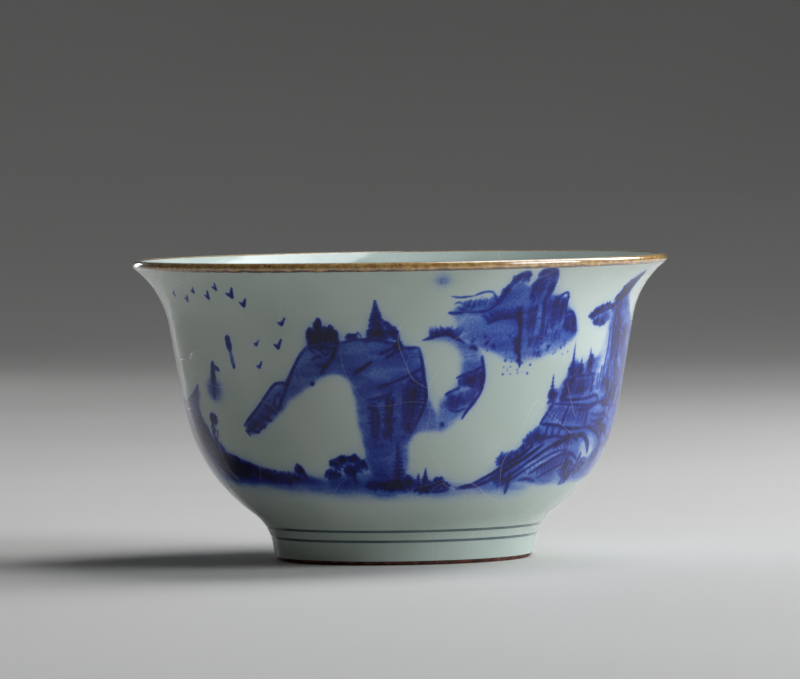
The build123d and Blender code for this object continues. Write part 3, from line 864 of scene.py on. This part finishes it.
def leaf_cells(density):
    """Cells of the painted mesh as {size: flags}, halved wherever the painting has finer detail."""
    finest = 2**SPLITS
    worst = {2**k: detail(density, 2**k) for k in range(1, SPLITS + 1)}
    split = {}
    below = np.zeros_like(worst[2], bool)
    for size in sorted(worst):
        split[size] = (worst[size] > SPLIT_TOLERANCE) | below
        if size < finest:
            below = split[size].reshape(split[size].shape[0] // 2, 2, -1, 2).any(axis=(1, 3))
    cells = {finest: ~split[finest]}
    reached = split[finest]
    for size in sorted(worst, reverse=True)[1:]:
        reached = grow(reached)
        cells[size] = reached & ~split[size]
        reached = reached & split[size]
    cells[1] = grow(reached)
    return cells


def around(radial, upward, turns):
    """Places or directions right round the cup, row by row, from their radial and upward parts."""
    level = np.broadcast_to(upward[:, None], (len(radial), len(turns)))
    parts = [radial[:, None] * np.sin(turns), -radial[:, None] * np.cos(turns), level]
    return np.stack(parts, axis=2).reshape(-1, 3)


def painted_glaze_mesh(density):
    """The outside glaze as one closed mesh, fine where it is painted, with the pigment on its points."""
    rows = mesh_rows()
    fine = 2**SPLITS
    coarse_z = np.array([z for z, _ in rows])
    coarse_depth = np.array([depth for _, depth in rows])
    steps = np.arange((len(rows) - 1) * fine + 1) / fine
    z = np.interp(steps, np.arange(len(rows)), coarse_z)
    depth = np.interp(steps, np.arange(len(rows)), coarse_depth)
    columns = COARSE_COLUMNS * fine
    turn = 2 * pi * np.arange(columns + 1) / columns - pi

    canvas_rows = np.clip(z / PAINT_STEP, 0, PAINT_ROWS - 1.001)
    canvas_columns = (turn + pi) / (2 * pi) * PAINT_COLUMNS
    low, left = canvas_rows.astype(int), canvas_columns.astype(int)
    fv, fu = (canvas_rows - low)[:, None], (canvas_columns - left)[None, :]
    left, right = left % PAINT_COLUMNS, (left + 1) % PAINT_COLUMNS
    sampled = (density[low][:, left] * (1 - fu) + density[low][:, right] * fu) * (1 - fv)
    sampled += (density[low + 1][:, left] * (1 - fu) + density[low + 1][:, right] * fu) * fv

    cells = leaf_cells(sampled)
    used = np.zeros(sampled.shape, bool)
    for size, flags in cells.items():
        j, i = np.nonzero(flags)
        for dj, di in ((0, 0), (0, 1), (1, 0), (1, 1)):
            used[(j + dj) * size, (i + di) * size] = True
    used[:, 0] |= used[:, -1]
    used[:, -1] = used[:, 0]
    number = np.full(used.shape, -1)
    js, is_ = np.nonzero(used[:, :-1])
    number[js, is_] = np.arange(len(js))
    number[:, -1] = number[:, 0]

    across, up = section.normal(z)
    radius = section.radius(z) - depth / across
    points = np.stack([radius[js] * np.sin(turn[is_]), -radius[js] * np.cos(turn[is_]), z[js]], axis=1)
    normals = np.stack([across[js] * np.sin(turn[is_]), -across[js] * np.cos(turn[is_]), up[js]], axis=1)
    cobalt = sampled[js, is_]

    faces, places = [], []
    for size, flags in cells.items():
        for j, i in zip(*np.nonzero(flags)):
            a, b, c, d = j * size, i * size, (j + 1) * size, (i + 1) * size
            rim = [(a, k) for k in range(b, d)] + [(k, d) for k in range(a, c)]
            rim += [(c, k) for k in range(d, b, -1)] + [(k, b) for k in range(c, a, -1)]
            rim = [p for p in rim if used[p]]
            faces.append([number[p] for p in rim])
            places.append(rim)

    # The hidden back of the coat, one coat's thickness under the face, closed at the foot and at the lip.
    kept = [
        k
        for k, level in enumerate(coarse_depth)
        if level == 0 and (k == 0 or coarse_z[k] > coarse_z[k - 1])
    ]
    back_z = coarse_z[kept]
    back_across, back_up = section.normal(back_z)
    back_radius = section.radius(back_z) - COAT * back_across
    back_height = back_z - COAT * back_up
    back_height[0] = back_z[0]
    coarse_turn = turn[:-1:fine]
    first = len(points)
    back = around(back_radius, back_height, coarse_turn)
    inward = around(-back_across, -back_up, coarse_turn)
    hidden = []
    for k in range(len(kept) - 1):
        for i in range(COARSE_COLUMNS):
            a, b = first + k * COARSE_COLUMNS + i, first + k * COARSE_COLUMNS + (i + 1) % COARSE_COLUMNS
            hidden.append([b, a, a + COARSE_COLUMNS, b + COARSE_COLUMNS])
    top_row = first + (len(kept) - 1) * COARSE_COLUMNS
    for i in range(COARSE_COLUMNS):
        step = (i + 1) % COARSE_COLUMNS
        foot_edge = [number[0, k] for k in range(i * fine, (i + 1) * fine + 1) if used[0, k]]
        lip_edge = [number[-1, k] for k in range((i + 1) * fine, i * fine - 1, -1) if used[-1, k]]
        hidden.append([first + i, first + step, *reversed(foot_edge)])
        hidden.append([top_row + step, top_row + i, *reversed(lip_edge)])

    mesh = bpy.data.meshes.new("painted_outer_glaze")
    mesh.from_pydata(np.vstack([points, back]) * MM, [], faces + hidden)
    mesh.polygons.foreach_set("use_smooth", [True] * len(mesh.polygons))
    layer = mesh.attributes.new("cobalt", "FLOAT", "POINT")
    layer.data.foreach_set("value", np.concatenate([cobalt, np.zeros(len(back))]))
    lay_out(mesh, places, hidden, turn, z)
    mesh.normals_split_custom_set_from_vertices(np.vstack([normals, inward]))
    return mesh


def lay_out(mesh, places, hidden, turn, z):
    """UV map in two strips, front half and back half, so that a baked texture has even detail."""
    face_z = np.linspace(z[0], z[-1], 2000)
    run = np.concatenate([[0], np.cumsum(np.hypot(np.diff(face_z), np.diff(section.radius(face_z))))])
    scale = 0.98 / (pi * PAINT_RADIUS)
    up = np.interp(z, face_z, run) * scale
    uv = []
    for rim in places:
        middle = sum(turn[i] for _, i in rim) / len(rim)
        front = abs(middle) < pi / 2
        start, base = (-pi / 2, 0.01) if front else ((pi / 2, 0.5) if middle > 0 else (-3 * pi / 2, 0.5))
        uv += [(0.01 + (turn[i] - start) * PAINT_RADIUS * scale, base + up[j]) for j, i in rim]
    for face in hidden:
        uv += [(0.5, 0.995)] * len(face)
    layer = mesh.uv_layers.new(name="OFBake")
    layer.data.foreach_set("uv", np.array(uv, np.float32).ravel())


# ---------------------------------------------------------------- materials


class Finish:
    """A material's node tree, with short ways to add and join nodes."""

    def __init__(self, name):
        self.material = bpy.data.materials.new(name)
        self.material.use_nodes = True
        self.tree = self.material.node_tree
        self.shader = self.tree.nodes["Principled BSDF"]
        self.place = self.add("ShaderNodeTexCoord").outputs["Object"]

    def add(self, kind, settings=(), **inputs):
        """A node with its settings and inputs. An input is named, or i and its number, and it is given a
        value or another node's output."""
        node = self.tree.nodes.new(kind)
        for key, value in dict(settings).items():
            setattr(node, key, value)
        for key, value in inputs.items():
            numbered = key[0] == "i" and key[1:].isdigit()
            self.feed(node.inputs[int(key[1:]) if numbered else key.replace("_", " ")], value)
        return node

    def feed(self, socket, value):
        """Joins another node's output to a socket, or sets the socket's own value."""
        if isinstance(value, bpy.types.NodeSocket):
            self.tree.links.new(value, socket)
        else:
            socket.default_value = value

    def noise(self, scale, detail=2.0, rough=0.5):
        """Noise with a number of lumps to the metre."""
        node = self.add(
            "ShaderNodeTexNoise", Vector=self.place, Scale=scale, Detail=detail, Roughness=rough
        )
        return node.outputs["Fac"]

    def maths(self, operation, a, b):
        """One operation on two values."""
        return self.add("ShaderNodeMath", {"operation": operation}, i0=a, i1=b).outputs[0]

    def spread(self, value, low, high, to_low=0.0, to_high=1.0, kind="SMOOTHSTEP"):
        """A value's range mapped onto another range, and held at its ends."""
        node = self.add("ShaderNodeMapRange", {"interpolation_type": kind}, Value=value)
        for key, number in (("From Min", low), ("From Max", high), ("To Min", to_low), ("To Max", to_high)):
            node.inputs[key].default_value = number
        return node.outputs[0]

    def mix(self, amount, a, b):
        """Two colours mixed."""
        node = self.tree.nodes.new("ShaderNodeMix")
        node.data_type = "RGBA"
        self.feed(node.inputs[0], amount)
        self.feed(node.inputs[6], a)
        self.feed(node.inputs[7], b)
        return node.outputs[2]

    def ramp(self, value, stops):
        """Colours by position."""
        node = self.add("ShaderNodeValToRGB", Fac=value)
        band = node.color_ramp
        while len(band.elements) < len(stops):
            band.elements.new(0.5)
        for element, (position, tone) in zip(band.elements, stops):
            element.position = position
            element.color = tone
        return node.outputs["Color"]

    def bump(self, height, depth, under=None):
        """A bump whose height runs from 0 to a depth in millimetres."""
        node = self.add("ShaderNodeBump", Height=height, Strength=1.0, Distance=depth * MM)
        if under:
            self.feed(node.inputs["Normal"], under)
        return node.outputs["Normal"]

    def set(self, **values):
        """Sets inputs of the surface itself."""
        for key, value in values.items():
            self.feed(self.shader.inputs[key.replace("_", " ")], value)


def colour(red, green, blue):
    """A screen colour from 0 to 255 as Blender's linear values, opaque."""
    shades = (red, green, blue)
    return *(((c / 255 + 0.055) / 1.055) ** 2.4 if c > 10 else c / 255 / 12.92 for c in shades), 1.0


GLAZE_PALE = colour(200, 211, 203)
GLAZE_DEEP = colour(183, 197, 187)
CRACK_PALE = colour(224, 230, 222)


def crackle(finish, scale, reach, width, gaps):
    """Fine wandering cracks in the glaze, as a value that is 1 on a crack and fades out along parts of it.
    The scale is cells to the metre, and the reach and the width are in millimetres."""
    drift = finish.add("ShaderNodeTexNoise", Vector=finish.place, Scale=0.72 * scale, Detail=1.0)
    centred = finish.add(
        "ShaderNodeVectorMath", {"operation": "SUBTRACT"}, i0=drift.outputs["Color"], i1=(0.5, 0.5, 0.5)
    )
    pushed = finish.add(
        "ShaderNodeVectorMath",
        {"operation": "MULTIPLY_ADD"},
        i0=centred.outputs[0],
        i1=(reach * MM, reach * MM, reach * MM),
        i2=finish.place,
    )
    cells = finish.add(
        "ShaderNodeTexVoronoi", {"feature": "DISTANCE_TO_EDGE"}, Vector=pushed.outputs[0], Scale=scale
    )
    line = finish.spread(cells.outputs["Distance"], 0.0, width * MM * scale, 1.0, 0.0)
    return finish.maths("MULTIPLY", line, finish.spread(finish.noise(0.8 * scale, 1.0), gaps, gaps + 0.12))


def glaze(name, painted=False):
    """Glossy celadon crackle glaze, with cobalt under it where it is painted."""
    finish = Finish(name)
    clouds = finish.noise(34.0, 3.0)
    tone = finish.mix(finish.spread(clouds, 0.35, 0.65), GLAZE_PALE, GLAZE_DEEP)
    broad = crackle(finish, 62.0, 26.0, 0.085, 0.4)
    small = crackle(finish, 105.0, 14.0, 0.06, 0.54)
    cracks = finish.maths("MAXIMUM", broad, small)
    if painted:
        density = finish.add("ShaderNodeAttribute", {"attribute_name": "cobalt"}).outputs["Fac"]
        grain = finish.noise(2600.0, 2.0)
        density = finish.maths("MULTIPLY", density, finish.spread(grain, 0.3, 0.7, 0.9, 1.1))
        blue = finish.ramp(density, [
            (0.0, colour(148, 178, 214)),
            (0.3, colour(74, 112, 188)),
            (0.45, colour(38, 68, 160)),
            (0.62, colour(14, 32, 134)),
            (0.8, colour(8, 14, 98)),
            (1.0, colour(5, 5, 50)),
        ])
        warm = finish.ramp(density, [
            (0.0, colour(150, 162, 204)),
            (0.3, colour(92, 98, 168)),
            (0.55, colour(60, 50, 126)),
            (1.0, colour(24, 10, 50)),
        ])
        blue = finish.mix(finish.spread(finish.noise(70.0, 2.0), 0.52, 0.68, 0.0, 0.32), blue, warm)
        tone = finish.mix(finish.spread(density, 0.0, 0.36), tone, blue)
        pale = finish.spread(density, 0.1, 0.5, 0.42, 0.16)
    else:
        pale = 0.42
    tone = finish.mix(finish.maths("MULTIPLY", cracks, pale), tone, CRACK_PALE)
    swell = finish.bump(finish.noise(90.0, 2.0), 0.11)
    peel = finish.bump(finish.noise(700.0, 2.0), 0.006, swell)
    split = finish.bump(finish.maths("SUBTRACT", 1.0, cracks), 0.03, peel)
    blisters = finish.add("ShaderNodeTexVoronoi", Vector=finish.place, Scale=230.0)
    raised = finish.spread(blisters.outputs["Distance"], 0.03, 0.075, 1.0, 0.0)
    rare = finish.add("ShaderNodeSeparateColor", i0=blisters.outputs["Color"]).outputs[0]
    raised = finish.maths("MULTIPLY", raised, finish.spread(rare, 0.93, 0.94))
    finish.set(
        Base_Color=tone,
        Roughness=finish.spread(finish.noise(160.0, 2.0), 0.3, 0.7, 0.07, 0.12),
        Normal=finish.bump(raised, 0.03, split),
        IOR=1.44,
    )
    return finish.material


def lip_finish():
    """Iron dressing on the lip: ochre mottling, dark along its lower edge with a painted dark reflection,
    and pale on the crest as a painted highlight.
    """
    finish = Finish("iron_dressing")
    low, high = heights_of("lip_dressing")
    height = finish.add("ShaderNodeSeparateXYZ", Vector=finish.place).outputs["Z"]
    share = finish.spread(height, low * MM, high * MM, kind="LINEAR")
    waver = finish.spread(finish.noise(420.0, 3.0), 0.3, 0.7, -0.16, 0.16, "LINEAR")
    ragged = finish.maths("ADD", share, waver)
    mottle = finish.noise(900.0, 4.0, 0.65)
    ochre = finish.mix(finish.spread(mottle, 0.38, 0.62), colour(196, 158, 92), colour(158, 114, 56))
    # Dark iron for the band's lower edge, where it also stands for a painted dark reflection.
    dark = finish.mix(finish.spread(mottle, 0.42, 0.6), colour(104, 58, 32), colour(44, 22, 14))
    body = finish.mix(finish.spread(ragged, 0.06, 0.3), dark, ochre)
    pitted = finish.mix(finish.spread(finish.noise(1600.0, 2.0), 0.66, 0.74), body, colour(36, 18, 12))
    fade_and_crest_highlight = finish.mix(finish.spread(ragged, -0.12, 0.02), GLAZE_DEEP, pitted)
    # The top of the band is made pale: a painted highlight along the crest.
    fade_and_crest_highlight = finish.mix(finish.spread(share, 0.9, 0.99), fade_and_crest_highlight, colour(204, 204, 186))
    finish.set(
        Base_Color=fade_and_crest_highlight,
        Roughness=finish.spread(mottle, 0.3, 0.7, 0.13, 0.22),
        Normal=finish.bump(mottle, 0.02, finish.bump(finish.noise(260.0, 2.0), 0.06)),
        IOR=1.9,
        Coat_Weight=1.0,
        Coat_Roughness=0.06,
    )
    return finish.material


def foot_finish():
    """Iron wash on the bare foot edge: dull red-brown, worn and speckled."""
    finish = Finish("iron_wash")
    mottle = finish.noise(700.0, 4.0, 0.6)
    worn = finish.noise(240.0, 2.0)
    brown = finish.mix(finish.spread(mottle, 0.35, 0.65), colour(120, 62, 46), colour(66, 30, 24))
    tone = finish.mix(finish.spread(worn, 0.6, 0.75, 0.0, 0.5), brown, colour(168, 130, 104))
    finish.set(
        Base_Color=tone,
        Roughness=finish.spread(mottle, 0.3, 0.7, 0.55, 0.75),
        Normal=finish.bump(mottle, 0.04),
    )
    return finish.material


def line_finish():
    """Slate-blue brush line under the gloss, thinner where the brush ran dry."""
    finish = Finish("line_pigment")
    flow = finish.noise(110.0, 3.0)
    grain = finish.noise(1800.0, 2.0)
    tone = finish.mix(finish.spread(flow, 0.35, 0.7), colour(58, 78, 84), colour(92, 112, 114))
    tone = finish.mix(finish.spread(grain, 0.5, 0.75, 0.0, 0.4), tone, colour(120, 138, 136))
    finish.set(
        Base_Color=tone,
        Roughness=finish.spread(grain, 0.3, 0.7, 0.15, 0.22),
        Normal=finish.bump(finish.noise(90.0, 2.0), 0.05),
        IOR=1.5,
        Coat_Weight=0.7,
        Coat_Roughness=0.05,
    )
    return finish.material


def clay_finish():
    """Dense white fired clay, seen only where a coat is chipped or cut."""
    finish = Finish("fired_clay")
    grain = finish.noise(1500.0, 3.0)
    tone = finish.mix(finish.spread(grain, 0.35, 0.65), colour(232, 228, 216), colour(214, 206, 192))
    finish.set(Base_Color=tone, Roughness=0.62, Normal=finish.bump(grain, 0.02))
    return finish.material


def floor_finish():
    """Plain pale matt floor."""
    finish = Finish("pale_floor")
    soft = finish.noise(4.0, 2.0)
    tone = finish.mix(finish.spread(soft, 0.3, 0.7), colour(214, 211, 205), colour(208, 205, 199))
    finish.set(Base_Color=tone, Roughness=0.55)
    return finish.material


# ---------------------------------------------------------------- the set


def add_floor():
    """A wide floor under the foot, that sweeps up into a backdrop far behind the cup."""
    half_width = 3.0
    front = -3.0
    bend = 0.9
    sweep_radius = 1.6
    profile = [(front, 0.0), (0.0, 0.0)]
    for turn in range(0, 61, 2):
        tilt = radians(turn)
        profile.append((bend + sweep_radius * sin(tilt), sweep_radius * (1 - cos(tilt))))
    corners = [(side * half_width, y, z) for y, z in profile for side in (-1, 1)]
    faces = [(2 * k, 2 * k + 1, 2 * k + 3, 2 * k + 2) for k in range(len(profile) - 1)]
    mesh = bpy.data.meshes.new("floor")
    mesh.from_pydata(corners, [], faces)
    mesh.shade_smooth()
    mesh.materials.append(floor_finish())
    floor = bpy.data.objects.new("floor", mesh)
    bpy.context.scene.collection.objects.link(floor)


def aim(thing, place, target, roll=0.0):
    """Puts a light or the camera at a place, pointed at a target, in millimetres."""
    thing.location = Vector(place) * MM
    ahead = (Vector(target) - Vector(place)).to_track_quat("-Z", "Y")
    thing.rotation_euler = (ahead.to_matrix() @ Matrix.Rotation(radians(roll), 3, "Z")).to_euler()


def add_softbox(name, place, width, height, power, tint):
    """A soft rectangular light aimed at the middle of the cup."""
    light = bpy.data.lights.new(name, "AREA")
    light.shape = "RECTANGLE"
    light.size = width * MM
    light.size_y = height * MM
    light.energy = power
    light.color = tint
    box = bpy.data.objects.new(name, light)
    bpy.context.scene.collection.objects.link(box)
    aim(box, place, (0, 0, CUP_HEIGHT * 0.6))


def add_skylight():
    """Broad light from above, even over the whole floor."""
    light = bpy.data.lights.new("skylight", "SUN")
    light.energy = 0.05
    light.angle = radians(60)
    sky = bpy.data.objects.new("skylight", light)
    bpy.context.scene.collection.objects.link(sky)
    aim(sky, (150, 200, 1000), (0, 0, 0))


def add_camera():
    """A long lens a little above the rim, as the cup was seen, and tilted slightly to its left."""
    distance = 1227.3
    aside = -0.17
    eye_height = CUP_HEIGHT * 1.514
    aim_height = CUP_HEIGHT * 0.724
    tilt = -0.9
    camera = bpy.data.objects.new("camera", bpy.data.cameras.new("camera"))
    camera.data.lens = 328.5
    camera.data.sensor_width = 36
    camera.data.clip_start = 0.05
    camera.data.clip_end = 50
    bpy.context.scene.collection.objects.link(camera)
    aim(camera, (aside, -distance, eye_height), (aside, 0, aim_height), roll=tilt)
    bpy.context.scene.camera = camera


def add_world():
    """Even pale surroundings."""
    world = bpy.data.worlds.new("studio")
    world.use_nodes = True
    world.node_tree.nodes["Background"].inputs["Color"].default_value = colour(214, 217, 220)
    world.node_tree.nodes["Background"].inputs["Strength"].default_value = 0.06
    bpy.context.scene.world = world


add_camera()
add_floor()
add_world()
add_skylight()
add_softbox("near_window", (760, -300, 420), 460, 420, 5.8, (0.88, 0.93, 1.0))
add_softbox("far_window", (720, 380, 420), 420, 380, 0.8, (0.88, 0.93, 1.0))
add_softbox("left_window", (-400, 860, 130), 110, 260, 0.6, (0.94, 0.96, 1.0))
add_softbox("overhead_panel", (390, 220, 560), 380, 800, 5.0, (0.92, 0.95, 1.0))
bpy.context.scene.view_settings.view_transform = "Standard"

glaze_object = bpy.data.objects.new("painted_outer_glaze", painted_glaze_mesh(landscape()))
bpy.context.scene.collection.objects.link(glaze_object)
glaze_object.data.materials.append(glaze("painted_glaze", painted=True))
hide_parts("outer_glaze")
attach(glaze_object, "root")

plain_glaze = glaze("plain_glaze")
finishes = {
    "inner_glaze": plain_glaze,
    "base_glaze": plain_glaze,
    "lip_dressing": lip_finish(),
    "foot_wash": foot_finish(),
    "clay_body": clay_finish(),
}
line_pigment = line_finish()
finishes.update({node: line_pigment for node in LINE_NODES})
for node, material in finishes.items():
    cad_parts[node].material_slots[0].material = material
